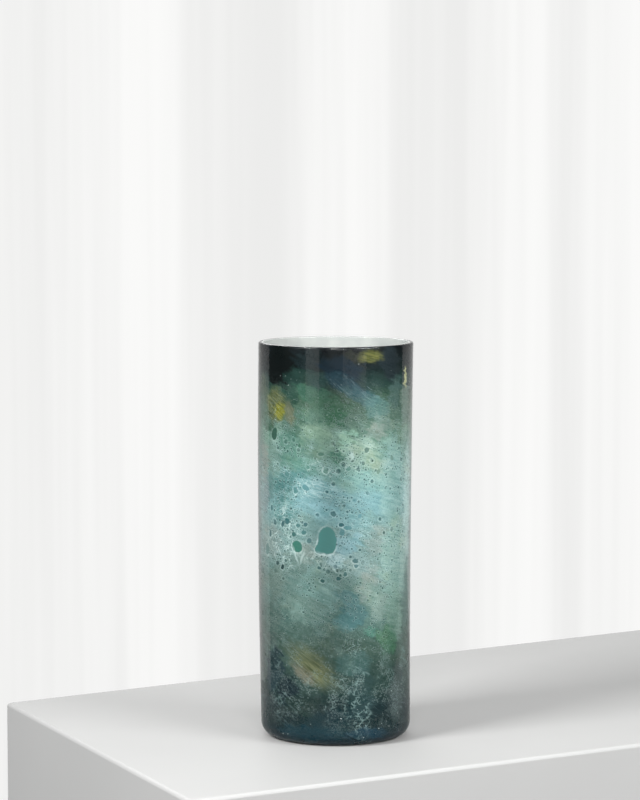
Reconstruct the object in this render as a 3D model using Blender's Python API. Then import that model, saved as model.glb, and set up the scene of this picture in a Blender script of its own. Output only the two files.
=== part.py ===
"""Hand blown art glass vase: a tall straight cylinder of cased glass.

The body is three gathers of glass, one round the other: an opal liner, a thin mottled colour
overlay and a clear casing that rounds over the lip and makes the heel and the ground foot. Four
thin pieces of olive-gold glass, picked up with the colour, lie in windows of the overlay.

Metres, +Z up. The axis is Z, the foot stands on z = 0 and the viewer's side is -Y.
"""
from math import copysign, cos, pi, radians, sin

import bpy

# ---- driving dimensions ---------------------------------------------------------------------
HEIGHT = 0.456
RIM_RADIUS = 0.089          # outside, at the lip
TAPER = 0.0029              # how much smaller the outside radius gets by the foot
TAPER_POWER = 1.6           # above 1: most of the taper is low down
SWAY = 0.0015               # how far the body bows towards -X between its two ends
SWAY_CENTRE = 0.27          # share of the bow that centres the whole body over its foot
GAP = 0.0003                # clearance between neighbouring gathers

CASING_WALL = 0.0022
OVERLAY_WALL = 0.0009
LINER_WALL = 0.0024
CASING_BASE = 0.0070
LINER_BASE = 0.0080

HEEL_RADIUS = 0.017         # outside rounding between wall and foot
CORNER_RADIUS = 0.015       # the casing's own rounding inside, over the foot
FLOOR_FILLET = 0.012        # inside the liner, between floor and wall
PUNTY_RADIUS = 0.022        # shallow ground hollow in the middle of the foot
PUNTY_DEPTH = 0.0012

LIP_OUTER_ROUND = 0.0020
LIP_INNER_ROUND = 0.0005
LIP_DEPTH = 0.0026          # height of the clear ring that closes over the colour
LINER_LIP_ROUND = 0.0011

SEGMENTS = 60               # round the vase
WALL_STEPS = 9              # up each wall
CORNER_STEPS = 5            # round each corner

# ---- radial build-up, as distances in from the outside surface ------------------------------
CASING_IN = CASING_WALL
OVERLAY_OUT = CASING_IN + GAP
OVERLAY_IN = OVERLAY_OUT + OVERLAY_WALL
LINER_OUT = OVERLAY_IN + GAP
LINER_IN = LINER_OUT + LINER_WALL

OVERLAY_TOP = HEIGHT - LIP_DEPTH - GAP
CORNER_LEVEL = CASING_BASE + CORNER_RADIUS      # height of the centre of the shared corners

# Picked-up pieces: centre angle from the front (positive to +X), centre height, half width
# round the wall, half height, shear, squareness and wobble of the outline.
GOLD_PIECES = {
    "gold_shard_upper_left": (radians(-48), 0.386, 0.0225, 0.0200, -0.25, 3.2, 0.06),
    "gold_shard_rim_right": (radians(28), 0.4425, 0.0150, 0.0070, 0.30, 3.6, 0.07),
    "gold_streak_right": (radians(63), 0.4190, 0.0034, 0.0125, -0.08, 2.6, 0.05),
    "gold_shard_lower_left": (radians(-21), 0.086, 0.0290, 0.0165, -1.05, 2.6, 0.06),
}
OUTLINE_POINTS = 40
OUTLINE_LOBES = 3
FAN_RINGS = 4

# ---- materials: colour, roughness, how clear, alpha -----------------------------------------
MATERIALS = {
    "clear_glass": ((0.62, 0.72, 0.70), 0.03, 1.0, 0.2),
    "mottled_colour": ((0.09, 0.21, 0.21), 0.22, 0.0, 1.0),
    "opal_white": ((0.55, 0.57, 0.55), 0.16, 0.0, 1.0),
    "olive_gold": ((0.26, 0.24, 0.09), 0.20, 0.0, 1.0),
}
SMOOTH_ANGLE = radians(35)


def clear_scene():
    for obj in list(bpy.data.objects):
        bpy.data.objects.remove(obj, do_unlink=True)


def glass_material(name):
    colour, roughness, transmission, alpha = MATERIALS[name]
    material = bpy.data.materials.new(name)
    material.use_nodes = True
    shader = material.node_tree.nodes["Principled BSDF"]
    shader.inputs["Base Color"].default_value = (*colour, 1.0)
    shader.inputs["Roughness"].default_value = roughness
    shader.inputs["Metallic"].default_value = 0.0
    shader.inputs["Transmission Weight"].default_value = transmission
    shader.inputs["Alpha"].default_value = alpha
    return material


def outside_radius(z):
    """Radius of the finished outside wall at a height."""
    return RIM_RADIUS - TAPER * (1 - z / HEIGHT) ** TAPER_POWER


def place(radius, angle, z):
    """A point of the vase: angle 0 faces the viewer, and the body bows a little in the middle."""
    bow = SWAY * (SWAY_CENTRE - sin(pi * z / HEIGHT))
    return (radius * sin(angle) + bow, -radius * cos(angle), z)


def wall(inset, low, high):
    """Section points up a wall that keeps a distance in from the outside surface."""
    heights = [low + (high - low) * i / WALL_STEPS for i in range(WALL_STEPS + 1)]
    return [(outside_radius(z) - inset, z) for z in heights]


def arc(centre, radius, start, end, steps):
    """Section points of an arc, in degrees from the radial direction."""
    angles = [radians(start + (end - start) * i / steps) for i in range(steps + 1)]
    return [(centre[0] + radius * cos(a), centre[1] + radius * sin(a)) for a in angles]


def foot_corner(inset):
    """The rounded bottom corner shared by the casing's inside and the gathers within it."""
    radius = CORNER_RADIUS - (inset - CASING_IN)
    centre = (outside_radius(CORNER_LEVEL) - CASING_IN - CORNER_RADIUS, CORNER_LEVEL)
    return arc(centre, radius, -90, 0, CORNER_STEPS)


def casing_section():
    """Bottom centre, foot, heel, wall, over the lip, and back down inside to the floor centre."""
    punty = [(PUNTY_RADIUS * t, PUNTY_DEPTH * (1 - t * t)) for t in (0, 0.4, 0.75, 1)]
    heel_centre = (outside_radius(HEEL_RADIUS) - HEEL_RADIUS, HEEL_RADIUS)
    heel = arc(heel_centre, HEEL_RADIUS, -90, 0, CORNER_STEPS + 1)
    outer = wall(0, HEEL_RADIUS, HEIGHT - LIP_OUTER_ROUND)[1:-1]
    lip_radius = outside_radius(HEIGHT)
    lip_out = arc((lip_radius - LIP_OUTER_ROUND, HEIGHT - LIP_OUTER_ROUND),
                  LIP_OUTER_ROUND, 0, 90, CORNER_STEPS - 1)
    lip_bore = lip_radius - OVERLAY_IN
    lip_in = arc((lip_bore + LIP_INNER_ROUND, HEIGHT - LIP_INNER_ROUND),
                 LIP_INNER_ROUND, 90, 180, 2)
    shelf = [(lip_bore, HEIGHT - LIP_DEPTH)]
    inner = wall(CASING_IN, CORNER_LEVEL, HEIGHT - LIP_DEPTH)[1:][::-1]
    corner = foot_corner(CASING_IN)[::-1]
    return punty + heel + outer + lip_out + lip_in + shelf + inner + corner + [(0, CASING_BASE)]


def overlay_section():
    outer = foot_corner(OVERLAY_OUT) + wall(OVERLAY_OUT, CORNER_LEVEL, OVERLAY_TOP)[1:]
    inner = foot_corner(OVERLAY_IN) + wall(OVERLAY_IN, CORNER_LEVEL, OVERLAY_TOP)[1:]
    return [(0, outer[0][1])] + outer + inner[::-1] + [(0, inner[0][1])]


def liner_section():
    lip_radius = outside_radius(HEIGHT)
    outer = foot_corner(LINER_OUT) + wall(LINER_OUT, CORNER_LEVEL, HEIGHT - LIP_INNER_ROUND)[1:]
    lip_out = arc((lip_radius - LINER_OUT - LIP_INNER_ROUND, HEIGHT - LIP_INNER_ROUND),
                  LIP_INNER_ROUND, 0, 90, 2)[1:]
    lip_in = arc((lip_radius - LINER_IN + LINER_LIP_ROUND, HEIGHT - LINER_LIP_ROUND),
                 LINER_LIP_ROUND, 90, 180, CORNER_STEPS - 2)
    floor = outer[0][1] + LINER_BASE
    fillet_top = floor + FLOOR_FILLET
    inner = wall(LINER_IN, fillet_top, HEIGHT - LINER_LIP_ROUND)[1:-1][::-1]
    fillet_centre = (outside_radius(fillet_top) - LINER_IN - FLOOR_FILLET, fillet_top)
    fillet = arc(fillet_centre, FLOOR_FILLET, -90, 0, CORNER_STEPS)[::-1]
    return [(0, outer[0][1])] + outer + lip_out + lip_in + inner + fillet + [(0, floor)]


def add_object(name, vertices, faces, material):
    mesh = bpy.data.meshes.new(name)
    mesh.from_pydata(vertices, [], faces)
    mesh.update()
    mesh.shade_smooth()
    mesh.set_sharp_from_angle(angle=SMOOTH_ANGLE)
    if material:
        mesh.materials.append(material)
    obj = bpy.data.objects.new(name, mesh)
    bpy.context.scene.collection.objects.link(obj)
    return obj


def turned(name, section, material):
    """A closed body turned from a section that starts and ends on the axis."""
    (_, first), *rings, (_, last) = section
    vertices = [place(r, 2 * pi * k / SEGMENTS, z) for r, z in rings for k in range(SEGMENTS)]
    bottom, top = len(vertices), len(vertices) + 1
    vertices += [place(0, 0, first), place(0, 0, last)]
    faces = []
    for k in range(SEGMENTS):
        nxt = (k + 1) % SEGMENTS
        faces.append((bottom, nxt, k))
        for ring in range(len(rings) - 1):
            low, high = ring * SEGMENTS, (ring + 1) * SEGMENTS
            faces.append((low + k, low + nxt, high + nxt, high + k))
        end = (len(rings) - 1) * SEGMENTS
        faces.append((end + k, end + nxt, top))
    return add_object(name, vertices, faces, material)


def outline(half_width, half_height, shear, squareness, wobble, grow):
    """Closed outline of a picked-up piece laid flat: a sheared superellipse, a little uneven."""
    points = []
    for i in range(OUTLINE_POINTS):
        t = 2 * pi * i / OUTLINE_POINTS
        uneven = 1 + wobble * sin(OUTLINE_LOBES * t + half_width / half_height)
        u = copysign(abs(cos(t)) ** (2 / squareness), cos(t)) * half_width * uneven
        v = copysign(abs(sin(t)) ** (2 / squareness), sin(t)) * half_height * uneven
        points.append((u + shear * v, v))
    grown = []
    for i, (u, v) in enumerate(points):
        (u0, v0), (u1, v1) = points[i - 1], points[(i + 1) % len(points)]
        length = ((u1 - u0) ** 2 + (v1 - v0) ** 2) ** 0.5
        grown.append((u + grow * (v1 - v0) / length, v - grow * (u1 - u0) / length))
    return grown


def curved_plate(name, spec, inset_out, inset_in, grow, material):
    """A thin plate that follows the wall between two insets, with the given outline."""
    angle, level, *shape = spec
    edge = outline(*shape, grow)
    count = len(edge)
    vertices, faces = [], []
    for inset in (inset_out, inset_in):
        for ring in range(FAN_RINGS):
            scale = 1 - ring / FAN_RINGS
            for u, v in edge:
                z = level + v * scale
                radius = outside_radius(z) - inset
                vertices.append(place(radius, angle + u * scale / RIM_RADIUS, z))
        vertices.append(place(outside_radius(level) - inset, angle, level))
    inside = FAN_RINGS * count + 1
    for k in range(count):
        nxt = (k + 1) % count
        for ring in range(FAN_RINGS - 1):
            a, b = ring * count, (ring + 1) * count
            faces.append((a + k, a + nxt, b + nxt, b + k))
            faces.append((inside + a + nxt, inside + a + k, inside + b + k, inside + b + nxt))
        a = (FAN_RINGS - 1) * count
        faces.append((a + k, a + nxt, FAN_RINGS * count))
        faces.append((inside + a + nxt, inside + a + k, inside + FAN_RINGS * count))
        faces.append((nxt, k, inside + k, inside + nxt))
    return add_object(name, vertices, faces, material)


def cut_window(body, name, spec):
    """Opens a window for a picked-up piece through the overlay, a gap wider all round."""
    cutter = curved_plate(name, spec, OVERLAY_OUT - OVERLAY_WALL, OVERLAY_IN + OVERLAY_WALL,
                          GAP, None)
    cutter.hide_render = True
    cutter.display_type = "WIRE"
    cut = body.modifiers.new(name, "BOOLEAN")
    cut.operation = "DIFFERENCE"
    cut.object = cutter


def main():
    clear_scene()
    materials = {name: glass_material(name) for name in MATERIALS}
    turned("clear_casing", casing_section(), materials["clear_glass"])
    overlay = turned("colour_overlay", overlay_section(), materials["mottled_colour"])
    turned("opal_liner", liner_section(), materials["opal_white"])
    for name, spec in GOLD_PIECES.items():
        curved_plate(name, spec, OVERLAY_OUT, OVERLAY_IN, 0.0, materials["olive_gold"])
        cut_window(overlay, "window_" + name, spec)


main()
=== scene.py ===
"""Looks of the hand blown art glass vase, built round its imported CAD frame.

Three gathers of glass: a grey-white opal liner, a mottled colour layer with pits, froth and
bubbles, and a clear casing over it. Four bits of olive-gold glass lie in the colour layer.
Lengths are metres, but names that end in MM or mm and the tables of the mottled layer are in
millimetres. The viewer of the front looks along +Y, with +X to the right.
"""
from math import atan2, copysign, cos, pi, radians, sin

import bpy
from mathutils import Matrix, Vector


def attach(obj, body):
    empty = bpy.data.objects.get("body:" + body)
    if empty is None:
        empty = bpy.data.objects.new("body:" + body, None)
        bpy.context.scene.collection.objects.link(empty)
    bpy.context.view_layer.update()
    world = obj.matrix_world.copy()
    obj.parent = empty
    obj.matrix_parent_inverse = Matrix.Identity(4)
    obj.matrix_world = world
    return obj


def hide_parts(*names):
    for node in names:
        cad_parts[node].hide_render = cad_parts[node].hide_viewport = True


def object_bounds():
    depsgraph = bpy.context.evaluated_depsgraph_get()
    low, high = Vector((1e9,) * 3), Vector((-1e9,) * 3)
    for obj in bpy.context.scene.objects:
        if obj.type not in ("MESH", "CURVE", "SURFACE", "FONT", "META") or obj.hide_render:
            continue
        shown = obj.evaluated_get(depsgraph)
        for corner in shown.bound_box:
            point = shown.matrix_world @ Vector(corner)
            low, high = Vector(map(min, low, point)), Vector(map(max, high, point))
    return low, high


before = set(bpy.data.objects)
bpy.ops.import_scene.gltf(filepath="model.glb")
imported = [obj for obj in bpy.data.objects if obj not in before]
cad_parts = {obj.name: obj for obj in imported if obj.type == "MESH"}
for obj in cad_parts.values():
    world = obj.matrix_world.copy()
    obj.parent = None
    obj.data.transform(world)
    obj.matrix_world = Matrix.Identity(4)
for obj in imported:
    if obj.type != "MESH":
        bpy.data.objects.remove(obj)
CAD_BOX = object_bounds()

# ---- shape, the same rules as the CAD ---------------------------------------------------------
HEIGHT = CAD_BOX[1].z
RIM_RADIUS = CAD_BOX[1].y
TAPER, TAPER_POWER = 0.0029, 1.6
SWAY, SWAY_CENTRE = 0.0015, 0.27
HEEL_RADIUS = 0.017
LIP_ROUND, LIP_BORE_ROUND = 0.0020, 0.0005
LIP_DEPTH = 0.0026               # the casing folds over the lip this far down the inside
CASING_WALL, CASING_BASE = 0.0022, 0.0070
OVERLAY_INSIDE = 0.0034          # insets from the outside surface
LINER_INSIDE = 0.0061
LINER_TOP_ROUND = 0.0011
FLOOR_LEVEL, FLOOR_FILLET = 0.0165, 0.012
PUNTY_RADIUS, PUNTY_DEPTH = 0.022, 0.0012
COLOUR_DEPTH = 0.0003            # the colour seems to lie this close under the clear surface
GOLD_PROUD = 0.00004             # the gold stands this far out of the colour round it
HAND_WAVE = 0.00022              # how far the blown surface dips, always inwards

AROUND = 224                     # segments round the vase
UP, UP_COARSE = 72, 24           # steps up a wall, and up a wall that stays hidden
ROUNDING = 10                    # steps round a corner
PUNTY_RINGS, FOOT_RINGS = 8, 6   # rings over the hollow under the foot, and over its flat ring

# picked-up glass: angle in degrees from the front, height, half width, half height, shear,
# squareness and wobble of the outline
GOLD_PIECES = {
    "gold_shard_upper_left": (-48, 0.386, 0.0225, 0.0200, -0.25, 3.2, 0.06),
    "gold_shard_rim_right": (28, 0.4425, 0.0150, 0.0070, 0.30, 3.6, 0.07),
    "gold_streak_right": (63, 0.4190, 0.0034, 0.0125, -0.08, 2.6, 0.05),
    "gold_shard_lower_left": (-21, 0.086, 0.0290, 0.0165, -1.05, 2.6, 0.06),
}


def outside_radius(z):
    """The wall leans in a little towards the foot, more and more steeply."""
    return RIM_RADIUS - TAPER * max(0.0, 1 - z / HEIGHT) ** TAPER_POWER


def hand_wave(angle, z):
    """The slight unevenness of a blown wall: broad shallow dips, fading at lip and foot."""
    fade = sin(pi * min(max(z / HEIGHT, 0), 1)) ** 0.5
    wave = (2 + sin(3 * angle + 11 * z / HEIGHT) + sin(2 * angle - 17 * z / HEIGHT + 1.3)) / 4
    return HAND_WAVE * wave * fade


def place(radius, angle, z):
    """A point at an angle from the front. The walls dip and bow, the floor only bows."""
    bow = SWAY * (SWAY_CENTRE - sin(pi * z / HEIGHT))
    radius -= hand_wave(angle, z) if radius > RIM_RADIUS / 2 else 0
    return (radius * sin(angle) + bow, -radius * cos(angle), z)


def wall(inset, low, high, steps=UP):
    """Rings up a wall that lies this far inside the outside surface."""
    heights = [low + (high - low) * i / steps for i in range(steps + 1)]
    return [(outside_radius(z) - inset, z) for z in heights]


def arc(centre, radius, start, end, steps=ROUNDING):
    """Points along an arc between two angles in degrees."""
    angles = [radians(start + (end - start) * i / steps) for i in range(steps + 1)]
    return [(centre[0] + radius * cos(a), centre[1] + radius * sin(a)) for a in angles]


def across(radius, level, steps=6):
    """Rings over a flat disc, from near the axis out to a radius."""
    return [(radius * (i + 1) / (steps + 1), level) for i in range(steps)]


def casing_section():
    """From under the foot up the outside, over the lip and down behind the colour layer."""
    lip = outside_radius(HEIGHT)
    bore = lip - OVERLAY_INSIDE
    hollow = [i / PUNTY_RINGS for i in range(PUNTY_RINGS + 1)]
    punty = [(PUNTY_RADIUS * t, PUNTY_DEPTH * (1 - t * t)) for t in hollow]
    foot_edge = outside_radius(HEEL_RADIUS) - HEEL_RADIUS
    foot_step = (foot_edge - PUNTY_RADIUS) / FOOT_RINGS
    foot = [(PUNTY_RADIUS + foot_step * i, 0) for i in range(1, FOOT_RINGS)]
    inner_low = CASING_BASE + HEEL_RADIUS
    corner = arc((outside_radius(inner_low) - CASING_WALL - HEEL_RADIUS, inner_low),
                 HEEL_RADIUS, -90, 0)[::-1]
    return (punty + foot + arc((foot_edge, HEEL_RADIUS), HEEL_RADIUS, -90, 0)
            + wall(0, HEEL_RADIUS, HEIGHT - LIP_ROUND)[1:-1]
            + arc((lip - LIP_ROUND, HEIGHT - LIP_ROUND), LIP_ROUND, 0, 90)
            + arc((bore + LIP_BORE_ROUND, HEIGHT - LIP_BORE_ROUND), LIP_BORE_ROUND, 90, 180, 4)
            + [(bore, HEIGHT - LIP_DEPTH)]
            + wall(CASING_WALL, inner_low, HEIGHT - LIP_DEPTH, UP_COARSE)[1:][::-1]
            + corner + across(corner[-1][0], CASING_BASE)[::-1] + [(0, CASING_BASE)])


def colour_section():
    """The colour layer as the clear glass shows it: close under the outside surface."""
    low = COLOUR_DEPTH + HEEL_RADIUS
    top = HEIGHT - LIP_ROUND
    lip = arc((outside_radius(HEIGHT) - LIP_ROUND, top), LIP_ROUND - COLOUR_DEPTH, 0, 90, 5)
    heel = arc((outside_radius(low) - COLOUR_DEPTH - HEEL_RADIUS, low), HEEL_RADIUS, -90, 0)
    floor = CASING_BASE + OVERLAY_INSIDE - CASING_WALL
    inside = wall(OVERLAY_INSIDE, floor + HEEL_RADIUS, top, UP_COARSE)[::-1]
    corner = arc((inside[-1][0] - HEEL_RADIUS, floor + HEEL_RADIUS), HEEL_RADIUS, -90, 0)[::-1]
    return ([(0, COLOUR_DEPTH)] + across(heel[0][0], COLOUR_DEPTH) + heel
            + wall(COLOUR_DEPTH, low, top, UP * 2)[1:] + lip[1:]
            + [(inside[0][0], lip[-1][1])] + inside + corner[1:]
            + across(corner[-1][0], floor)[::-1] + [(0, floor)])


def liner_section():
    """From under the liner's floor up its back, over the lip and down to the floor inside."""
    lip = outside_radius(HEIGHT)
    low = CASING_BASE + OVERLAY_INSIDE - CASING_WALL
    outer = wall(OVERLAY_INSIDE, low + HEEL_RADIUS, HEIGHT - LIP_BORE_ROUND, UP_COARSE)
    corner = arc((outer[0][0] - HEEL_RADIUS, low + HEEL_RADIUS), HEEL_RADIUS, -90, 0)
    lip_out = arc((lip - OVERLAY_INSIDE - LIP_BORE_ROUND, HEIGHT - LIP_BORE_ROUND),
                  LIP_BORE_ROUND, 0, 90, 4)
    lip_in = arc((lip - LINER_INSIDE + LINER_TOP_ROUND, HEIGHT - LINER_TOP_ROUND),
                 LINER_TOP_ROUND, 90, 180)
    fillet_top = FLOOR_LEVEL + FLOOR_FILLET
    inner = wall(LINER_INSIDE, fillet_top, HEIGHT - LINER_TOP_ROUND)[:-1][::-1]
    fillet = arc((inner[-1][0] - FLOOR_FILLET, fillet_top), FLOOR_FILLET, -90, 0)[::-1]
    return ([(0, low)] + across(corner[0][0], low) + corner + outer[1:] + lip_out[1:] + lip_in
            + inner + fillet[1:] + across(fillet[-1][0], FLOOR_LEVEL)[::-1] + [(0, FLOOR_LEVEL)])


def add_mesh(name, vertices, faces, material, sharp=35):
    mesh = bpy.data.meshes.new(name)
    mesh.from_pydata(vertices, [], faces)
    mesh.update()
    mesh.shade_smooth()
    mesh.set_sharp_from_angle(angle=radians(sharp))
    mesh.materials.append(material)
    obj = bpy.data.objects.new(name, mesh)
    bpy.context.scene.collection.objects.link(obj)
    return obj


def turned(name, section, material):
    """A section turned round the axis, which it starts and ends on."""
    (_, first), *rings, (_, last) = section
    vertices = [place(r, 2 * pi * k / AROUND, z) for r, z in rings for k in range(AROUND)]
    bottom, top = len(vertices), len(vertices) + 1
    vertices += [place(0, 0, first), place(0, 0, last)]
    faces = []
    for k in range(AROUND):
        nxt = (k + 1) % AROUND
        faces.append((bottom, nxt, k))
        for low in range(0, (len(rings) - 1) * AROUND, AROUND):
            faces.append((low + k, low + nxt, low + AROUND + nxt, low + AROUND + k))
        end = (len(rings) - 1) * AROUND
        faces.append((end + k, end + nxt, top))
    return add_mesh(name, vertices, faces, material)


def outline(half_width, half_height, shear, squareness, wobble, points=96):
    """The edge of a gold piece laid flat: a leaning, uneven squared oval."""
    edge = []
    for i in range(points):
        t = 2 * pi * i / points
        uneven = 1 + wobble * sin(3 * t + half_width / half_height)
        u = copysign(abs(cos(t)) ** (2 / squareness), cos(t)) * half_width * uneven
        v = copysign(abs(sin(t)) ** (2 / squareness), sin(t)) * half_height * uneven
        edge.append((u + shear * v, v))
    return edge


def curved_plate(name, spec, inset_out, inset_in, material, rings=8):
    """A thin plate that follows the wall, a hair proud of the colour layer round it."""
    turn, level, *shape = spec
    edge = outline(*shape)
    count = len(edge)
    vertices, faces = [], []
    for inset in (inset_out, inset_in):
        for ring in range(rings):
            scale = 1 - ring / rings
            for u, v in edge:
                z = level + v * scale
                angle = radians(turn) + u * scale / RIM_RADIUS
                vertices.append(place(outside_radius(z) - inset, angle, z))
        vertices.append(place(outside_radius(level) - inset, radians(turn), level))
    inside = rings * count + 1
    for k in range(count):
        nxt = (k + 1) % count
        for ring in range(rings - 1):
            a, b = ring * count, (ring + 1) * count
            faces.append((a + k, a + nxt, b + nxt, b + k))
            faces.append((inside + a + nxt, inside + a + k, inside + b + k, inside + b + nxt))
        a = (rings - 1) * count
        faces.append((a + k, a + nxt, rings * count))
        faces.append((inside + a + nxt, inside + a + k, inside + rings * count))
        faces.append((nxt, k, inside + k, inside + nxt))
    return add_mesh(name, vertices, faces, material)


# ---- node helpers -------------------------------------------------------------------------------
def rgb(text):
    """Linear colour from a hex sRGB one."""
    parts = [int(text[i:i + 2], 16) / 255 for i in (0, 2, 4)]
    return tuple(c / 12.92 if c <= 0.04045 else ((c + 0.055) / 1.055) ** 2.4 for c in parts)


class Nodes:
    """Short calls for building a node tree. Arguments are sockets or plain values."""

    def __init__(self, tree):
        self.tree = tree

    def put(self, socket, value):
        if isinstance(value, bpy.types.NodeSocket):
            self.tree.links.new(value, socket)
        elif isinstance(value, (tuple, list)) and len(value) == 3 and socket.type == "RGBA":
            socket.default_value = (*value, 1)
        else:
            socket.default_value = value

    def add(self, kind, **settings):
        node = self.tree.nodes.new(kind)
        for key, value in settings.items():
            setattr(node, key, value)
        return node

    def math(self, operation, *values, clamp=False):
        node = self.add("ShaderNodeMath", operation=operation, use_clamp=clamp)
        for socket, value in zip(node.inputs, values):
            self.put(socket, value)
        return node.outputs[0]

    def vector(self, operation, *values):
        node = self.add("ShaderNodeVectorMath", operation=operation)
        for socket, value in zip(node.inputs, values):
            self.put(socket, value)
        return node.outputs["Value" if operation in ("LENGTH", "DOT_PRODUCT", "DISTANCE") else 0]

    def scaled(self, vector, factors):
        return self.vector("MULTIPLY", vector, factors)

    def combine(self, x, y, z=0.0):
        node = self.add("ShaderNodeCombineXYZ")
        for socket, value in zip(node.inputs, (x, y, z)):
            self.put(socket, value)
        return node.outputs[0]

    def split(self, vector):
        node = self.add("ShaderNodeSeparateXYZ")
        self.put(node.inputs[0], vector)
        return node.outputs

    def noise(self, vector, scale, detail=3.0, roughness=0.55, distortion=0.0, colour=False):
        node = self.add("ShaderNodeTexNoise")
        for key, value in (("Vector", vector), ("Scale", scale), ("Detail", detail),
                           ("Roughness", roughness), ("Distortion", distortion)):
            self.put(node.inputs[key], value)
        return node.outputs["Color" if colour else "Fac"]

    def voronoi(self, vector, scale, feature="F1", randomness=1.0, output="Distance"):
        node = self.add("ShaderNodeTexVoronoi", feature=feature)
        for key, value in (("Vector", vector), ("Scale", scale), ("Randomness", randomness)):
            self.put(node.inputs[key], value)
        return node.outputs[output]

    def step(self, value, low, high, to_low=0.0, to_high=1.0, kind="SMOOTHSTEP"):
        """Pass softly from one result to the other as a value goes from low to high."""
        node = self.add("ShaderNodeMapRange", interpolation_type=kind, clamp=True)
        for socket, v in zip(node.inputs, (value, low, high, to_low, to_high)):
            self.put(socket, v)
        return node.outputs[0]

    def mix(self, amount, a, b, blend="MIX"):
        node = self.add("ShaderNodeMix", data_type="RGBA", blend_type=blend)
        self.put(node.inputs["Factor"], amount)
        self.put(node.inputs[6], a)
        self.put(node.inputs[7], b)
        return node.outputs[2]

    def ramp(self, value, stops):
        node = self.add("ShaderNodeValToRGB")
        node.color_ramp.interpolation = "EASE"
        elements = node.color_ramp.elements
        while len(elements) < len(stops):
            elements.new(0.5)
        for element, (position, colour) in zip(elements, stops):
            element.position = position
            element.color = (*rgb(colour), 1)
        self.put(node.inputs[0], value)
        return node.outputs[0]

    def after(self, colour, place):
        """The same place, but worked out only once a colour is known. Cycles keeps few values
        at a time, so a long shader must be worked out step by step."""
        return self.vector("MULTIPLY_ADD", colour, (1e-6, 1e-6, 0.0), place)

    def drift(self, vector, scale, detail, roughness):
        """Noise in three channels, each centred on zero."""
        return self.vector("SUBTRACT", self.noise(vector, scale, detail, roughness, colour=True),
                           (0.5, 0.5, 0.5))

    def moved(self, place, drift, amount):
        """A place carried about by a drift."""
        return self.vector("ADD", place, self.scaled(drift, amount))

    def times(self, *values):
        total = values[0]
        for value in values[1:]:
            total = self.math("MULTIPLY", total, value)
        return total

    def most(self, *values):
        largest = values[0]
        for value in values[1:]:
            largest = self.math("MAXIMUM", largest, value)
        return largest


def new_material(name):
    material = bpy.data.materials.new(name)
    material.use_nodes = True
    nodes = Nodes(material.node_tree)
    return material, nodes, material.node_tree.nodes["Principled BSDF"]


# ---- mottled colour layer -----------------------------------------------------------------------
SHELL_MM = 87.5                  # radius at which distances round the wall are read
MM_PER_M = 1000.0
REAR_SHIFT_MM = (34, -22)        # how far the rear half's pattern is moved, round and up
REAR_BLEND = 0.08                # depth over which that move comes in

HEIGHT_COLOURS = (               # from foot to lip
    (0.00, "061e28"), (0.06, "0b2022"), (0.10, "15272a"), (0.17, "344843"), (0.25, "4d635a"),
    (0.32, "637f78"), (0.40, "758f89"), (0.47, "829c98"), (0.55, "85a3a1"), (0.62, "84a9ab"),
    (0.70, "7fa29a"), (0.77, "769486"), (0.83, "5a7466"), (0.87, "425d4c"), (0.91, "28403c"),
    (0.95, "132123"), (1.00, "0a1115"),
)

# how far noise carries the broad patches and the gold about, in mm round and up
SWIRL_WARP, CRUMBLE_WARP, FEATHER_WARP = (24, 22, 0), (16, 16, 0), (36, 9, 0)
GOLD_FEATHER_WARP, GOLD_CRUMBLE_WARP = (16, 5, 0), (12, 12, 0)
PIT_WARP, BUBBLE_WARP = (2.6, 2.6, 0), (5.0, 5.0, 0)
# the same for grain and froth, in metres along each axis
GRAIN_WARP, WEB_WARP = (0.005, 0.005, 0.005), (0.0025, 0.0025, 0.0025)

EDGE_SOFTNESS = 0.6              # share of each patch's softness below that is used

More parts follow.
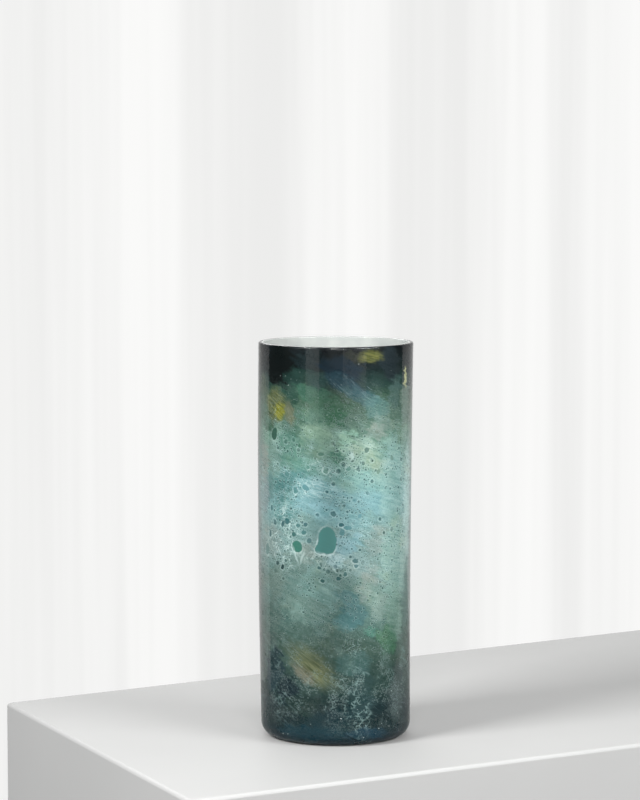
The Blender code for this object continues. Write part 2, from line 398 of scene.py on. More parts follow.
# patches laid over the height colours: angle from the front, height, half width, half height,
# tilt (positive runs down to the right), softness, strength, colour
PATCHES = (
    # dark top with its navy, olive and slate
    (-45, 434, 24, 26, 0, 0.6, 1.0, "050d0d"), (-28, 416, 18, 13, 20, 0.8, 0.8, "223c36"),
    (-18, 440, 10, 14, 0, 0.8, 0.7, "1e2b2d"), (4, 430, 24, 14, 14, 0.8, 0.9, "0e2938"),
    (14, 446, 14, 5, 0, 0.9, 0.8, "34372f"), (44, 434, 17, 18, 0, 0.8, 0.8, "2a3439"),
    (8, 414, 26, 9, 24, 0.8, 0.9, "2a4955"), (20, 400, 24, 9, 24, 0.8, 0.7, "43676c"),
    (-14, 418, 14, 10, 0, 0.9, 0.6, "34504e"), (-66, 404, 9, 20, 0, 0.8, 0.6, "535f4e"),
    # sage green belt
    (-18, 402, 22, 9, 10, 0.9, 0.7, "48705e"), (-12, 376, 20, 14, 0, 0.9, 0.6, "648a78"),
    (-4, 390, 24, 9, 0, 0.9, 0.6, "507660"),
    (0, 377, 9, 12, 0, 0.8, 0.8, "3f6e53"), (-14, 362, 20, 8, 10, 0.8, 0.7, "8ca48f"),
    (-9, 356, 14, 16, 0, 0.9, 0.5, "97b4a2"),
    (-34, 366, 17, 14, 10, 0.8, 0.75, "4a6a5c"), (-38, 394, 12, 12, 0, 0.8, 0.7, "2c4a42"),
    (-57, 367, 13, 12, 0, 0.8, 0.85, "42604f"),
    (32, 386, 20, 12, 20, 0.8, 0.6, "678a88"), (50, 402, 13, 18, 0, 0.9, 0.7, "56706d"),
    (66, 388, 10, 26, 0, 0.9, 0.6, "7c8e86"), (42, 368, 18, 8, 12, 0.9, 0.6, "8c9e96"),
    (8, 352, 8, 14, 0, 0.8, 0.8, "a4c4b2"), (34, 360, 13, 8, 14, 0.8, 0.5, "9ca09a"),
    (24, 353, 10, 10, 0, 0.8, 0.8, "86998f"),
    # pale mint and grey
    (20, 338, 20, 18, 14, 0.8, 0.8, "a3b9ad"), (-2, 337, 12, 6, 0, 0.7, 0.9, "568270"),
    (-36, 338, 20, 20, 0, 0.8, 0.7, "5c8478"), (-54, 328, 14, 20, 0, 0.8, 0.6, "7c928a"),
    (-67, 320, 10, 22, 0, 0.8, 0.7, "8c8f88"), (36, 314, 16, 16, 0, 0.8, 0.6, "a8b6a8"),
    (18, 312, 10, 8, 30, 0.7, 0.6, "a8c8bc"), (-18, 320, 22, 10, 12, 0.8, 0.5, "7aa59a"),
    # aqua middle
    (-33, 304, 20, 14, 0, 0.8, 0.7, "548789"), (-58, 294, 12, 16, 0, 0.8, 0.7, "688886"),
    (-14, 300, 24, 10, 8, 0.8, 0.6, "88b2b6"), (0, 312, 11, 12, 0, 0.8, 0.6, "739c98"),
    (3, 285, 10, 12, 0, 0.8, 0.6, "729ea3"), (24, 300, 26, 18, 10, 0.8, 0.6, "94b8b6"),
    # the tall pale patch at 48 degrees is pale mottling that also paints light onto the right side
    (26, 280, 30, 15, 10, 0.8, 0.6, "8fb3b8"), (48, 300, 20, 50, 0, 0.8, 0.7, "9ebcb8"),
    (-16, 276, 28, 12, 8, 0.8, 0.7, "8ab2b8"), (-9, 272, 18, 10, 0, 0.8, 0.6, "a4cad0"),
    (-12, 297, 12, 9, 0, 0.8, 0.5, "9cc2c6"), (-42, 270, 18, 16, 0, 0.8, 0.7, "5f908f"),
    (-42, 298, 12, 20, 0, 0.8, 0.6, "4a7a78"),
    (6, 260, 32, 12, 10, 0.8, 0.6, "92babf"), (-64, 284, 9, 18, 0, 0.8, 0.6, "8f9698"),
    (-72, 256, 9, 60, 0, 0.9, 0.5, "b4cac8"),
    # grey-green below the middle, with faint rose greys
    (-56, 232, 18, 22, 0, 0.8, 0.7, "94a09c"), (-22, 222, 13, 12, 0, 0.8, 0.7, "949e98"),
    (10, 230, 16, 14, 0, 0.8, 0.6, "9ac0ca"), (34, 234, 13, 18, 20, 0.8, 0.6, "9ea8a4"),
    (1, 212, 12, 8, 0, 0.8, 0.75, "b6d0d4"), (-12, 206, 10, 8, 0, 0.8, 0.5, "9cb6b2"),
    (18, 208, 16, 12, 0, 0.8, 0.6, "9cb2b2"),
    # the tall pale patches at 52 and 70 degrees are pale mottling that also paints light onto the
    # right side and its edge
    (25, 188, 10, 22, 30, 0.7, 0.6, "9ea6a2"), (52, 212, 22, 50, 0, 0.8, 0.7, "a0bcb4"),
    (70, 276, 12, 66, 0, 0.9, 0.7, "c4dcd8"),
    (-36, 206, 20, 14, 0, 0.8, 0.7, "6c847d"), (-50, 184, 16, 18, 0, 0.8, 0.6, "7c8c84"),
    (6, 170, 15, 8, 30, 0.7, 0.65, "5c8285"), (14, 153, 16, 14, 34, 0.6, 0.7, "597f82"),
    (-14, 176, 22, 32, 0, 0.9, 0.55, "8cada8"), (36, 160, 12, 16, 30, 0.8, 0.7, "94a69e"),
    (-24, 158, 26, 14, 10, 0.8, 0.6, "7a9087"), (-54, 150, 14, 22, 0, 0.8, 0.6, "64766f"),
    (10, 144, 14, 9, 20, 0.8, 0.6, "608a8c"), (52, 150, 14, 30, 0, 0.8, 0.7, "8ba599"),
    (30, 176, 16, 12, 20, 0.8, 0.6, "93a89f"),
    # olive, green and slate towards the foot
    (-18, 132, 30, 8, 14, 0.8, 0.7, "587068"), (43, 121, 14, 15, 34, 0.8, 0.65, "527f62"),
    (28, 130, 12, 6, 20, 0.8, 0.6, "5a8e7e"), (-56, 116, 14, 12, 20, 0.8, 0.6, "5c6a66"),
    (-55, 84, 16, 26, 10, 0.6, 0.9, "2b3d43"), (-39, 66, 14, 16, 34, 0.7, 0.95, "14242b"),
    (14, 94, 20, 14, 20, 0.8, 0.6, "50706e"), (-22, 48, 28, 12, 0, 0.8, 0.8, "1d302c"),
    (-4, 44, 20, 12, 0, 0.8, 0.7, "17282a"), (-20, 16, 46, 10, 0, 0.8, 0.8, "0a2b34"),
    (0, 32, 34, 12, 0, 0.9, 0.6, "102a30"),
    (26, 14, 26, 8, 0, 0.8, 0.8, "143240"), (54, 60, 14, 34, 0, 0.9, 0.7, "3f4b4b"),
    (22, 60, 16, 26, 0, 0.9, 0.5, "31484a"),
)

# gold glass seen through the colour: angle, height, half width, half height, tilt, softness,
# strength, colour of the glass, colour of its fine threads, slope of the threads
GOLD_TINTS = (
    (-51, 388, 16, 19, 0, 0.6, 0.9, "4f5636", "848862", 0.9),
    (-46, 381, 8, 10, 0, 0.9, 0.8, "7b7c26", "a4a04c", 0.9),
    (-36, 380, 7, 13, -14, 0.8, 0.75, "636650", "8c8a74", 2.5),
    (27, 445, 15, 7, -6, 0.8, 0.75, "62673a", "8a894c", 0.2),
    (63, 419, 3.0, 12, 0, 0.7, 1.0, "a2a478", "c8c8a2", 3.0),
    (-19, 93, 32, 15, 38, 1.0, 0.85, "5a6042", "878a68", 0.75),
    (-25, 83, 16, 7, 36, 0.9, 0.6, "66645a", "928e80", 0.75),
)

# single bubbles: angle, height, half width, half height, tilt, rim strength, how solid, colour
BUBBLES = (
    (-6.3, 237, 10.6, 16.0, 0, 0.8, 1.0, "5a908c"), (-29.8, 229, 6.6, 6.6, 0, 0.4, 0.95, "3f7a6c"),
    (-51.4, 355, 4.6, 7.4, 14, 0.15, 0.9, "2f5346"), (-61.5, 222, 4.0, 6.6, 10, 0.3, 0.8, "5f8480"),
    (23.4, 340, 3.0, 3.0, 0, 0.2, 0.8, "56746c"), (47, 328, 3.0, 3.0, 0, 0.2, 0.7, "6a877f"),
    (33.4, 314, 2.6, 2.6, 0, 0.2, 0.7, "6a867a"), (-38.5, 257, 4.0, 4.0, 0, 0.5, 0.9, "3f6e70"),
    (-42.5, 254, 2.2, 3.6, 20, 0.4, 0.9, "386266"), (-22.7, 297, 4.6, 3.0, 24, 0.6, 0.8, "5f9094"),
    (-31, 293, 3.0, 3.4, 0, 0.4, 0.8, "4f8080"), (-1.7, 268, 3.2, 2.8, 12, 0.3, 0.85, "52787c"),
    (4.4, 255, 3.0, 2.4, 0, 0.4, 0.9, "3f6c72"), (18, 265, 2.8, 2.6, 0, 0.3, 0.7, "6c9aa0"),
    (-24, 246, 2.4, 2.4, 0, 0.4, 0.85, "4a7a7a"), (14.6, 214, 3.2, 2.8, 0, 0.4, 0.85, "507678"),
    (-43.2, 204, 2.4, 2.8, 20, 0.3, 0.95, "2c4646"), (-48.5, 208, 2.2, 2.4, 0, 0.3, 0.9, "365252"),
    (-9.6, 191, 2.6, 2.0, 0, 0.3, 0.9, "386060"), (2, 194, 2.4, 2.2, 0, 0.4, 0.9, "406466"),
    (9, 252, 5.0, 2.6, 0, 0.3, 0.8, "5f9094"), (-55, 270, 2.2, 3.4, 10, 0.4, 0.85, "4a7274"),
    (-51, 254, 2.4, 3.2, 10, 0.5, 0.85, "44696c"), (-57, 241, 2.2, 4.0, 0, 0.5, 0.8, "4a6c6e"),
    (-29, 253, 2.0, 2.2, 0, 0.3, 0.8, "4a7878"), (-22.5, 255, 2.6, 2.4, 0, 0.5, 0.85, "436c70"),
    (-32.5, 243, 2.6, 2.6, 0, 0.5, 0.9, "3f6a68"), (-20, 237, 2.8, 2.6, 0, 0.4, 0.8, "567a7c"),
    (-38.5, 311, 3.0, 3.0, 0, 0.3, 0.7, "568280"), (-7.6, 316, 2.6, 2.4, 0, 0.5, 0.7, "5a8a7c"),
    (9.3, 319, 2.8, 2.4, 0, 0.3, 0.7, "5a8a80"), (-10.6, 335, 3.0, 2.2, 0, 0.2, 0.7, "507a6c"),
    (-20.8, 320, 2.2, 2.2, 0, 0.5, 0.7, "5a8a80"), (-27.7, 344, 2.2, 2.2, 0, 0.2, 0.8, "3c6656"),
    (14, 283, 2.6, 2.4, 0, 0.3, 0.6, "6c9a9e"), (4.6, 247, 3.2, 3.6, 0, 0.2, 0.7, "5a8c90"),
    (-12, 206, 2.2, 2.0, 0, 0.3, 0.85, "446c6c"), (7.2, 199, 2.0, 2.0, 0, 0.4, 0.85, "4a7070"),
    (0, 208, 2.2, 2.0, 0, 0.6, 0.8, "5a7c80"), (15.2, 208, 2.4, 2.0, 0, 0.4, 0.8, "567c80"),
)
LOBE = (-10.5, 229, 8.0, 6.0, -28)      # the big bubble's drawn-out lower left corner
LOBE_MELT = 0.5                         # how softly the lobe runs into the bubble
RING_MM = 1.3                           # width of the pale ring round a bubble
# froth trailing below the second bubble and bright froth elsewhere, strength last
TAILS = (
    (-31, 219, 1.3, 10, -20, 0.5), (-25.5, 217, 1.2, 8, 18, 0.45), (11.5, 333, 3.2, 3.6, 20, 0.7),
    (-1, 206, 2.2, 2.6, 0, 0.6), (-9, 221, 9.0, 2.0, 22, 0.5), (-41, 271, 2.0, 6.0, 30, 0.35),
)

# zones where one kind of mark gathers: angle, height, half width, half height, tilt, strength
FEATHERS = ((-15, 297, 26, 12, 12, 1.0), (-8, 322, 20, 7, 8, 0.8))
THREADS_NEAR_LIP = ((14, 408, 28, 14, 20, 0.7),)
FROTH_FOOT = ((18, 58, 13, 48, -4, 0.55), (-48, 54, 16, 11, 20, 0.5))
FROTH_MIDDLE = ((-42, 240, 22, 38, 0, 0.85), (-6, 212, 26, 12, 12, 0.75),
                (-26, 298, 16, 10, 10, 0.75), (-12, 322, 18, 8, 10, 0.75))
MOSS = ((15, 116, 19, 16, 34, 1.0),)
PIT_CLUSTERS = ((1, 206, 17, 11, 0, 1.0), (-40, 262, 24, 54, 0, 0.9))
ZONE_SOFTNESS = 0.9

# bands right round the vase: lowest and highest place and softness, in metres
THREAD_BAND, LOW_THREAD_BAND = (0.19, 0.365, 0.025), (0.03, 0.19, 0.03)
HAZE_BAND, SCATTERED_FROTH_BAND = (0.085, 0.385, 0.04), (0.032, 0.12, 0.02)

# open pits: columns round the vase, largest radius in mm, share of places with a pit, scale
# and least level of the noise they crowd in, lowest and highest place in metres
PIT_KINDS = (
    (48, 2.9, 0.40, 21, 0.50, 0.20, 0.35), (74, 1.9, 0.50, 28, 0.48, 0.18, 0.36),
    (112, 1.4, 0.55, 36, 0.47, 0.12, 0.39), (170, 0.9, 0.8, 42, 0.46, 0.03, 0.40),
)
PIT_BAND_SOFTNESS = 0.03
PIT_JITTER = 0.56                # share of its cell over which a pit's centre is strewn
SMALLEST_PIT = 0.35              # radius of the smallest pit of a kind, as a share of the largest
SPECKS = (70, 0.6, 0.10, 9.0)    # columns, largest radius and share as for the pits, and seed
SPECKLESS_LIP = (0.006, 0.010)   # no speck nearer the lip than the first, all past the second

# tints of the pale marks, and factors that darken or warm what lies under a mark
THREAD_TINT, HAZE_TINT, SPECK_TINT = "bcd4d6", "a9cbc6", "e6f2f0"
FROTH_TINT, MIDDLE_FROTH_TINT, TAIL_TINT = "a8c4c0", "d8e8e6", "d4e4e2"
HALO_TINT, RING_TINT, GOLD_SHADOW = "cfe4e0", "dceceb", "34402c"
PIT_SHADE, BRUSH_SHADE, GRAIN_SHADE = (0.20, 0.33, 0.34), (0.56, 0.72, 0.70), (0.5, 0.6, 0.6)
BRUSH_LIGHT, WARM_DRIFT = (1.55, 1.38, 1.38), (1.10, 0.97, 0.82)


def wall_place(n):
    """Object position, and where it lies unrolled on the wall: mm round from the front, mm up,
    and a 1 that lets one dot product shift, turn and scale it."""
    position = n.add("ShaderNodeTexCoord").outputs["Object"]
    x, y, z = n.split(position)
    turn = n.math("ARCTAN2", x, n.math("MULTIPLY", y, -1.0))
    flat = n.combine(n.math("MULTIPLY", turn, SHELL_MM), n.math("MULTIPLY", z, MM_PER_M), 1.0)
    return position, flat, z


def doubled_back(n, position, flat):
    """The unrolled place with the rear half folded onto the front, shifted so it differs."""
    quarter = SHELL_MM * pi / 2
    around_mm, up_mm = REAR_SHIFT_MM
    u, v, _ = n.split(flat)
    u = n.math("PINGPONG", n.math("ADD", u, quarter), 2 * quarter)
    rear = n.step(n.split(position)[1], 0.0, REAR_BLEND)
    u = n.math("ADD", u, n.math("MULTIPLY_ADD", rear, around_mm, -quarter))
    return n.combine(u, n.math("MULTIPLY_ADD", rear, up_mm, v), 1.0)


def oval(n, flat, turn, level, half_width, half_height, tilt):
    """Place relative to a slanted oval's centre, in oval radii."""
    across_mm, a = radians(turn) * SHELL_MM, radians(tilt)
    shift = (-cos(a) * across_mm + sin(a) * level, -sin(a) * across_mm - cos(a) * level)
    along = n.vector("DOT_PRODUCT", flat, [v / half_width for v in (cos(a), -sin(a), shift[0])])
    up = n.vector("DOT_PRODUCT", flat, [v / half_height for v in (sin(a), cos(a), shift[1])])
    return n.combine(along, up)


def patch(n, flat, shape, softness, strength=1.0):
    """Soft mask of one slanted oval on the unrolled wall."""
    out = n.vector("LENGTH", oval(n, flat, *shape))
    return n.step(out, 1 + softness / 2, 1 - softness / 2, 0.0, strength)


def gathered(n, place_on_wall, zones):
    """Mask of the zones where one kind of mark gathers."""
    return n.most(*(patch(n, place_on_wall, shape, ZONE_SOFTNESS, strength)
                    for *shape, strength in zones))


def band(n, z, low, high, soft):
    """1 between two heights in metres, fading over a soft edge."""
    return n.times(n.step(z, low - soft, low + soft), n.step(z, high + soft, high - soft))


def slanted(n, position, slope, around, up):
    """Position stretched into streaks that run down to the right of the front."""
    x, y, z = n.split(position)
    lean = n.math("MULTIPLY_ADD", x, slope, z)
    return n.combine(n.math("MULTIPLY", x, around), n.math("MULTIPLY", y, around),
                     n.math("MULTIPLY", lean, up))


def threads(n, vector, scale, sharp, detail=2):
    """Thin bright lines along the middle level of a noise."""
    fold = n.math("ABSOLUTE", n.math("SUBTRACT", n.noise(vector, scale, detail, 0.5), 0.5))
    return n.step(fold, sharp, 0.0)


def pits(n, flat, columns, radius_mm, share, seed):
    """Scattered round pits on a jittered brick grid: masks of the pits and of their pale rims.
    A whole number of columns goes round, so the pattern has no seam."""
    cell = 2 * pi * SHELL_MM / columns
    u = n.vector("DOT_PRODUCT", flat, (1 / cell, 0, 0))
    v = n.vector("DOT_PRODUCT", flat, (0, 1 / cell, 0))
    row = n.math("FLOOR", v)
    u = n.math("ADD", u, n.math("MULTIPLY", n.math("FLOORED_MODULO", row, 2.0), 0.5))
    column = n.math("FLOORED_MODULO", n.math("FLOOR", u), float(columns))
    cell_name = n.combine(column, row, seed)
    dice = n.add("ShaderNodeTexWhiteNoise", noise_dimensions="3D")
    n.put(dice.inputs["Vector"], cell_name)
    inside = n.combine(n.math("FRACT", u), n.math("FRACT", v), 0.0)
    margin = (1 - PIT_JITTER) / 2
    centre = n.vector("MULTIPLY_ADD", dice.outputs["Color"], (PIT_JITTER, PIT_JITTER, 0.0),
                      (margin, margin, 0.0))
    away = n.math("MULTIPLY", n.vector("DISTANCE", inside, centre), cell)
    chance = dice.outputs["Value"]
    size = n.step(chance, 1 - share, 1.0, SMALLEST_PIT * radius_mm, radius_mm, "LINEAR")
    there = n.math("GREATER_THAN", chance, 1 - share)
    out = n.math("DIVIDE", away, size)
    halo = n.times(n.step(out, 0.9, 1.15), n.step(out, 2.0, 1.25), there)
    return n.times(n.step(out, 1.1, 0.6), there), halo


def froth(n, position, cell_mm, line_mm):
    """The pale web left between burst bubbles."""
    edge = n.voronoi(position, MM_PER_M / cell_mm, "DISTANCE_TO_EDGE")
    return n.step(n.math("MULTIPLY", edge, cell_mm), line_mm, line_mm * 0.3)


def broad_colours(n, warped):
    level = n.vector("DOT_PRODUCT", warped, (0, 1 / (MM_PER_M * HEIGHT), 0))
    colour = n.ramp(level, HEIGHT_COLOURS)
    for turn, height, half_width, half_height, tilt, softness, strength, tint in PATCHES:
        shape = (turn, height, half_width, half_height, tilt)
        mask = patch(n, warped, shape, softness * EDGE_SOFTNESS, strength)
        colour = n.mix(mask, colour, rgb(tint))
    return colour


def gold_colours(n, colour, position, place_on_wall, strength_scale):
    for turn, height, wide, tall, tilt, softness, strength, tint, thread, slope in GOLD_TINTS:
        mask = patch(n, place_on_wall, (turn, height, wide, tall, tilt), softness,
                     strength * strength_scale)
        line = n.noise(slanted(n, position, slope, 70, 620), 1, 3, 0.6)
        glass = n.mix(n.step(line, 0.42, 0.62, 0.0, 0.7), rgb(tint), rgb(thread))
        glass = n.mix(n.step(line, 0.46, 0.30, 0.0, 0.4), glass, rgb(GOLD_SHADOW))
        colour = n.mix(mask, colour, glass)
    return colour


def brushed_threads(n, colour, position, warped, z):
    """White threads drawn out by the turning of the pipe."""
    fine = slanted(n, position, 0.30, 34, 260)
    steep = slanted(n, position, 0.85, 40, 330)
    middle = n.times(n.step(n.noise(position, 26, 2), 0.50, 0.62), band(n, z, *THREAD_BAND))
    pale = n.times(n.most(threads(n, fine, 1.0, 0.022), threads(n, fine, 2.1, 0.03)), middle)
    feathers = n.times(threads(n, fine, 1.6, 0.06, 3), gathered(n, warped, FEATHERS), 1.2)
    pale = n.most(pale, feathers)
    low = n.times(n.step(n.noise(position, 23, 2), 0.50, 0.62), band(n, z, *LOW_THREAD_BAND), 0.5)
    high = gathered(n, warped, THREADS_NEAR_LIP)
    pale = n.most(pale, n.times(threads(n, steep, 1.0, 0.012), n.most(low, high)))
    return n.mix(n.math("MULTIPLY", pale, 0.62), colour, rgb(THREAD_TINT))


def froth_webs(n, colour, position, web_place, warped, z):
    """Pale web and moss-like froth, close towards the foot, thin round the middle pits."""
    web = n.most(froth(n, web_place, 8.0, 0.5), n.times(froth(n, web_place, 4.4, 0.36), 0.7))
    moss = threads(n, web_place, 250, 0.03, 1)
    mat = gathered(n, warped, MOSS)
    foot = gathered(n, warped, FROTH_FOOT)
    middle = gathered(n, warped, FROTH_MIDDLE)
    scatter = n.times(n.step(n.noise(position, 38, 3), 0.53, 0.63),
                      band(n, z, *SCATTERED_FROTH_BAND), 0.45)
    broken = n.step(n.noise(position, 150, 2, 0.6), 0.45, 0.57)
    lines = n.times(web, broken, n.most(foot, scatter))
    tufts = n.times(moss, n.step(n.noise(position, 90, 2), 0.46, 0.56),
                    n.most(mat, n.times(scatter, 0.7)))
    colour = n.mix(n.times(n.most(lines, tufts), 0.68), colour, rgb(FROTH_TINT))
    return n.mix(n.times(web, broken, middle, 0.8), colour, rgb(MIDDLE_FROTH_TINT))


def all_pits(n, colour, position, flat, z):
    """Open pits in four sizes, each kind crowding in its own zones."""
    cluster = gathered(n, flat, PIT_CLUSTERS)
    for index, (columns, radius_mm, share, crowd, least, low, high) in enumerate(PIT_KINDS):
        pit, halo = pits(n, flat, columns, radius_mm, share, float(index))
        zone = n.times(n.step(n.noise(position, crowd, 2), least, least + 0.08),
                       band(n, z, low, high, PIT_BAND_SOFTNESS))
        zone = n.most(zone, cluster) if index else zone
        colour = n.mix(n.times(halo, zone, 0.26), colour, rgb(HALO_TINT))
        dark = n.mix(1.0, colour, PIT_SHADE, "MULTIPLY")
        colour = n.mix(n.times(pit, zone, 0.85), colour, dark)
    return colour


def large_bubbles(n, colour, position, flat):
    """The single bubbles, each with a pale ring of its own, made brightest at the lower left as a
    painted highlight.
    """
    wave = n.step(n.noise(position, 60, 2), 0.40, 0.58, 0.25, 1.0)
    for index, (turn, height, wide, tall, tilt, rim, solid, tint) in enumerate(BUBBLES):
        place_in = oval(n, flat, turn, height, wide, tall, tilt)
        out = n.vector("LENGTH", place_in)
        if index == 0:
            lobe = n.vector("LENGTH", oval(n, flat, *LOBE))
            out = n.math("SMOOTH_MIN", out, lobe, LOBE_MELT)
        width = RING_MM / wide
        # painted highlight: the lower left side of each ring is lit more brightly
        lit = n.step(n.vector("DOT_PRODUCT", place_in, (-0.5, -0.86, 0)), -0.7, 0.7, 0.3, 1.0)
        ring = n.times(n.step(out, 0.97, 1.0 + 0.3 * width),
                       n.step(out, 1.02 + 1.7 * width, 1.02 + 0.4 * width), wave, lit)
        colour = n.mix(n.math("MULTIPLY", ring, rim), colour, rgb(RING_TINT))
        colour = n.mix(n.step(out, 1.04, 0.90, 0.0, solid), colour, rgb(tint))
    for *shape, strength in TAILS:
        colour = n.mix(n.times(patch(n, flat, shape, 1.2, strength), wave), colour,
                       rgb(TAIL_TINT))
    return colour


def fine_tones(n, colour, streaks, cloud, grain_place, z):
    """Brushed darks and lights, a milky haze, a drift of hue, and grain."""
    brush = n.noise(streaks, 1.7, 5, 0.65)
    colour = n.mix(n.step(brush, 0.54, 0.36, 0.0, 0.55), colour,
                   n.mix(1.0, colour, BRUSH_SHADE, "MULTIPLY"))
    colour = n.mix(n.step(brush, 0.53, 0.68, 0.0, 0.34), colour,
                   n.mix(1.0, colour, BRUSH_LIGHT, "MULTIPLY"))
    haze = n.times(n.step(cloud, 0.52, 0.72, 0.0, 0.2), band(n, z, *HAZE_BAND))
    colour = n.mix(haze, colour, rgb(HAZE_TINT), "SCREEN")
    hue = n.noise(grain_place, 34, 3, 0.6)
    colour = n.mix(n.step(hue, 0.52, 0.70, 0.0, 0.5), colour,
                   n.mix(1.0, colour, WARM_DRIFT, "MULTIPLY"))
    grain = n.noise(grain_place, 520, 2, 0.7)
    return n.mix(n.step(grain, 0.52, 0.36, 0.0, 0.5), colour,
                 n.mix(1.0, colour, GRAIN_SHADE, "MULTIPLY"))


def specks(n, colour, flat, z):
    """Fine pale seeds all over, except on the lip."""
    speck, _ = pits(n, flat, *SPECKS)
    below_lip = n.step(z, *(HEIGHT - gap for gap in SPECKLESS_LIP))
    return n.mix(n.times(speck, below_lip, 0.65), colour, rgb(SPECK_TINT))


def uneven(n, height, distance, strength):
    """The normal of a surface that a height pattern roughens."""
    bump = n.add("ShaderNodeBump")
    bump.inputs["Distance"].default_value = distance
    bump.inputs["Strength"].default_value = strength
    n.put(bump.inputs["Height"], height)
    return bump.outputs[0]


def mottled_material(name, gold_strength):
    """The colour layer: broad colours first, then each finer kind of mark over them."""
    material, n, shader = new_material(name)
    position, flat, z = wall_place(n)
    swirl = n.drift(position, 15, 3, 0.6)
    crumble = n.drift(position, 110, 3, 0.65)
    streaks = slanted(n, position, 0.42, 26, 190)
    feather = n.drift(streaks, 1, 4, 0.6)
    warped = n.moved(doubled_back(n, position, flat), swirl, SWIRL_WARP)
    warped = n.moved(warped, crumble, CRUMBLE_WARP)
    warped = n.moved(warped, feather, FEATHER_WARP)
    grain_place = n.moved(position, crumble, GRAIN_WARP)
    web_place = n.moved(position, crumble, WEB_WARP)
    pit_place = n.moved(flat, crumble, PIT_WARP)

    colour = broad_colours(n, warped)
    cloud = n.noise(position, 48, 5, 0.62)
    colour = fine_tones(n, colour, streaks, cloud, grain_place, z)
    gold_place = n.moved(flat, feather, GOLD_FEATHER_WARP)
    gold_place = n.moved(gold_place, crumble, GOLD_CRUMBLE_WARP)
    colour = gold_colours(n, colour, position, gold_place, gold_strength)
    colour = brushed_threads(n, colour, position, warped, z)
    colour = froth_webs(n, colour, position, web_place, warped, z)
    colour = all_pits(n, colour, position, pit_place, z)
    bubble_place = n.moved(flat, crumble, BUBBLE_WARP)
    colour = large_bubbles(n, colour, position, n.after(colour, bubble_place))
    colour = specks(n, colour, flat, z)

    n.put(shader.inputs["Base Color"], colour)
    n.put(shader.inputs["Roughness"], n.step(cloud, 0.3, 0.7, 0.24, 0.4))
    n.put(shader.inputs["Normal"], uneven(n, n.noise(streaks, 1.7, 4, 0.65), 0.0005, 0.35))
    shader.inputs["Specular IOR Level"].default_value = 0.2
    return material


def opal_material():
    """Grey-white opal, smooth and slightly wavy, with a little light in its depth."""
    material, n, shader = new_material("opal_white")
    position = n.add("ShaderNodeTexCoord").outputs["Object"]
    cloud = n.noise(position, 22, 4, 0.6)
    colour = n.mix(n.step(cloud, 0.35, 0.68), rgb("989c9a"), rgb("a6a9a6"))
    n.put(shader.inputs["Base Color"], colour)
    n.put(shader.inputs["Roughness"], n.step(cloud, 0.2, 0.8, 0.1, 0.22))
    n.put(shader.inputs["Normal"], uneven(n, n.noise(position, 30, 2), 0.0006, 0.25))
    shader.inputs["Subsurface Weight"].default_value = 0.15
    shader.inputs["Subsurface Radius"].default_value = (0.004, 0.004, 0.004)
    return material


GLASS_IOR = 1.46
# painted shade: the casing mirrors less towards the foot, as if the foot were shaded
FOOT_GLOSS = 0.2                 # share of the mirror effect left at the foot
FULL_GLOSS_LEVEL = 0.13          # the height from which the mirror effect is whole


def clear_material():
    """Clear casing: it lets the colour through and mirrors by Fresnel, less near the foot, as
    painted shade.
    """
    material = bpy.data.materials.new("clear_glass")
    material.use_nodes = True
    tree = material.node_tree
    tree.nodes.clear()
    n = Nodes(tree)
    position = n.add("ShaderNodeTexCoord").outputs["Object"]
    clear = n.add("ShaderNodeBsdfTransparent")
    clear.inputs["Color"].default_value = (0.97, 0.99, 0.985, 1)
    gloss = n.add("ShaderNodeBsdfGlossy")
    gloss.inputs["Roughness"].default_value = 0.03
    fresnel = n.add("ShaderNodeFresnel")
    fresnel.inputs["IOR"].default_value = GLASS_IOR
    normal = uneven(n, n.noise(position, 45, 2, 0.4), 0.0004, 0.3)
    for node in (fresnel, gloss):
        n.put(node.inputs["Normal"], normal)
    # painted shade: the mirroring fades towards the foot
    painted_shade_at_foot = n.step(n.split(position)[2], 0.0, FULL_GLOSS_LEVEL, FOOT_GLOSS, 1.0)
    blend = n.add("ShaderNodeMixShader")
    n.put(blend.inputs[0], n.math("MULTIPLY", fresnel.outputs[0], painted_shade_at_foot))
    n.put(blend.inputs[1], clear.outputs[0])
    n.put(blend.inputs[2], gloss.outputs[0])
    output = n.add("ShaderNodeOutputMaterial")
    n.put(output.inputs["Surface"], blend.outputs[0])
    return material


# ---- build the vase -----------------------------------------------------------------------------
mottled, gold = mottled_material("mottled_colour", 0.85), mottled_material("olive_gold", 1.0)
pieces = {
    "clear_casing": (turned("casing_glass", casing_section(), clear_material()), "clear_glass"),
    "colour_overlay": (turned("colour_layer", colour_section(), mottled), "mottled_colour"),
    "opal_liner": (turned("opal_inside", liner_section(), opal_material()), "opal_white"),
}
for node, spec in GOLD_PIECES.items():
    plate = curved_plate(node + "_glass", spec, COLOUR_DEPTH - GOLD_PROUD, OVERLAY_INSIDE, gold)
    pieces[node] = (plate, "olive_gold")
for node, (piece, slot) in pieces.items():
    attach(piece, "root")
    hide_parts(node)

# ---- stage: pale table, pale wall, soft lights --------------------------------------------------
TABLE_CORNERS = ((-0.40, 0.20), (1.01, 1.155), (1.29, 0.52), (-0.155, -0.37))
TABLE_THICK, TABLE_EDGE = 0.5, 0.004
WALL_RADIUS = 3.5
WALL_HALF_ANGLE, WALL_STEPS = 64, 48
WALL_LOW, WALL_TOP = -1.6, 2.6
WALL_TONES = (0.81, 0.93)        # painted shade in the folds and painted light on them
WALL_SIDES, WALL_FADE = (0.9, 1.8), 0.30    # painted shade: it dims from one distance out to the other, by this

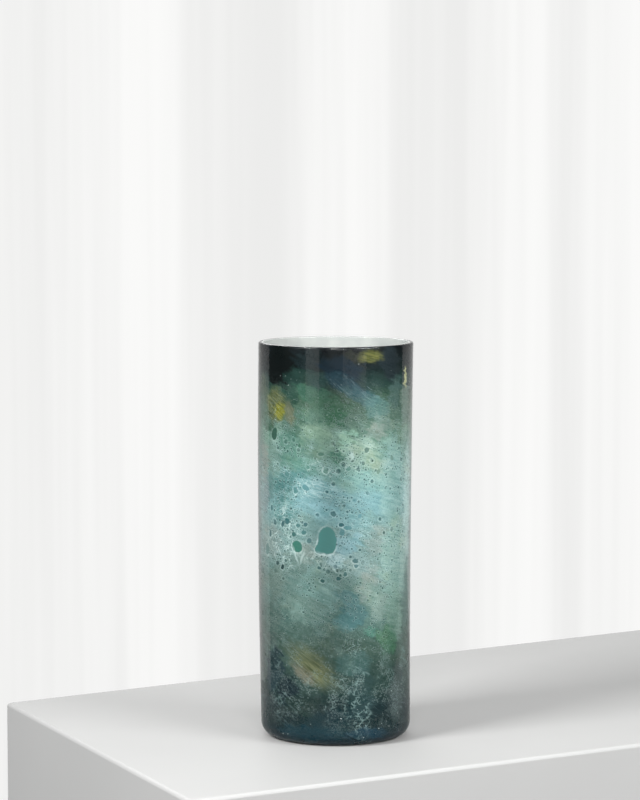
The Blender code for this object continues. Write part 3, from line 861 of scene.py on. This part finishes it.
LIGHT_AIM = (0, 0, 0.22)
LIGHTS = (                       # square lamps: name, place, side, power
    ("key_left", (-1.9, -1.7, 2.0), 1.0, 126), ("fill_right", (2.1, -1.7, 1.5), 1.6, 88),
    ("front_main", (0.2, -4.6, 1.9), 1.6, 158), ("overhead", (0.0, 0.2, 2.4), 1.8, 12),
    ("behind", (-0.8, 2.8, 2.4), 1.8, 30),
)
# tall windows that mirror as soft upright bands in the dark upper wall
WINDOWS = (("window_left", -34.5, 1.33, 5), ("window_right", 28, 2.3, 6))   # angle, width, power
WINDOW_DISTANCE, WINDOW_LEVEL, WINDOW_TALL = 3.6, 0.72, 1.5
SURROUNDINGS = (0.11, 0.114, 0.118, 1)


def table_material():
    material, n, shader = new_material("table_white")
    position = n.add("ShaderNodeTexCoord").outputs["Object"]
    tone = n.step(n.noise(position, 3, 3), 0.3, 0.7, 0.97, 1.0)
    tint = n.mix(1.0, rgb("aaaaa9"), n.combine(tone, tone, tone), "MULTIPLY")
    n.put(shader.inputs["Base Color"], tint)
    shader.inputs["Roughness"].default_value = 0.6
    shader.inputs["Specular IOR Level"].default_value = 0.15
    return material


def wall_material():
    """Pale cloth as glowing painted light, with painted shade in faint upright folds, dimmer
    towards the sides.
    """
    material, n, shader = new_material("wall_white")
    position = n.add("ShaderNodeTexCoord").outputs["Object"]
    x, _, z = n.split(position)
    folds = n.noise(n.scaled(position, (1.0, 1.0, 0.02)), 5.0, 4, 0.6)
    # painted shade towards the sides and upwards
    side = n.step(n.math("ABSOLUTE", x), *WALL_SIDES)
    shade = n.times(side, n.step(z, -0.05, 0.25, 0.0, WALL_FADE))
    tone = n.times(n.step(folds, 0.32, 0.68, *WALL_TONES), n.math("SUBTRACT", 1.0, shade))
    n.put(shader.inputs["Emission Color"], n.combine(tone, tone, n.math("MULTIPLY", tone, 0.99)))
    shader.inputs["Emission Strength"].default_value = 1.0
    shader.inputs["Base Color"].default_value = (0.02, 0.02, 0.02, 1)
    shader.inputs["Roughness"].default_value = 1.0
    return material


def table():
    vertices = [(x, y, z) for z in (-TABLE_THICK, 0) for x, y in TABLE_CORNERS]
    faces = [(0, 1, 2, 3), (7, 6, 5, 4)]
    faces += [((k + 1) % 4, k, 4 + k, 4 + (k + 1) % 4) for k in range(4)]
    top = add_mesh("table", vertices, faces, table_material())
    bevel = top.modifiers.new("edge", "BEVEL")
    bevel.width, bevel.segments = TABLE_EDGE, 3


def back_wall():
    vertices, faces = [], []
    for i in range(WALL_STEPS + 1):
        a = radians(WALL_HALF_ANGLE * (2 * i / WALL_STEPS - 1))
        x, y = WALL_RADIUS * sin(a), WALL_RADIUS * cos(a)
        vertices += [(x, y, WALL_LOW), (x, y, WALL_TOP)]
    for i in range(WALL_STEPS):
        faces.append((2 * i, 2 * i + 1, 2 * i + 3, 2 * i + 2))
    wall_mesh = add_mesh("back_wall", vertices, faces, wall_material())


def area_light(name, location, width, height, power, aim=LIGHT_AIM):
    data = bpy.data.lights.new(name, "AREA")
    data.shape, data.size, data.size_y = "RECTANGLE", width, height
    data.energy = power
    lamp = bpy.data.objects.new(name, data)
    lamp.location = location
    x, y, z = (aim[i] - location[i] for i in range(3))
    flat = (x * x + y * y) ** 0.5
    lamp.rotation_euler = (pi / 2 + atan2(z, flat), 0, atan2(-x, y))
    bpy.context.scene.collection.objects.link(lamp)


def studio():
    table()
    back_wall()
    for name, location, side, power in LIGHTS:
        area_light(name, location, side, side, power)
    for name, turn, width, power in WINDOWS:
        a = radians(turn)
        location = (WINDOW_DISTANCE * sin(a), -WINDOW_DISTANCE * cos(a), WINDOW_LEVEL)
        area_light(name, location, width, WINDOW_TALL, power, aim=(0, 0, WINDOW_LEVEL))
    world = bpy.data.worlds.new("studio")
    world.use_nodes = True
    world.node_tree.nodes["Background"].inputs["Color"].default_value = SURROUNDINGS
    bpy.context.scene.world = world


# ---- camera -------------------------------------------------------------------------------------
CAMERA_PLACE = (-0.0178, -3.864, 0.745)
CAMERA_DOWN = 5.27               # degrees
FOCAL_MM, SENSOR_MM = 152.0, 36.0


def camera():
    data = bpy.data.cameras.new("camera")
    data.lens, data.sensor_width = FOCAL_MM, SENSOR_MM
    data.clip_start, data.clip_end = 0.1, 60
    obj = bpy.data.objects.new("camera", data)
    obj.location = CAMERA_PLACE
    obj.rotation_euler = (radians(90 - CAMERA_DOWN), 0, 0)
    bpy.context.scene.collection.objects.link(obj)
    bpy.context.scene.camera = obj


studio()
camera()
bpy.context.scene.view_settings.view_transform = "Standard"
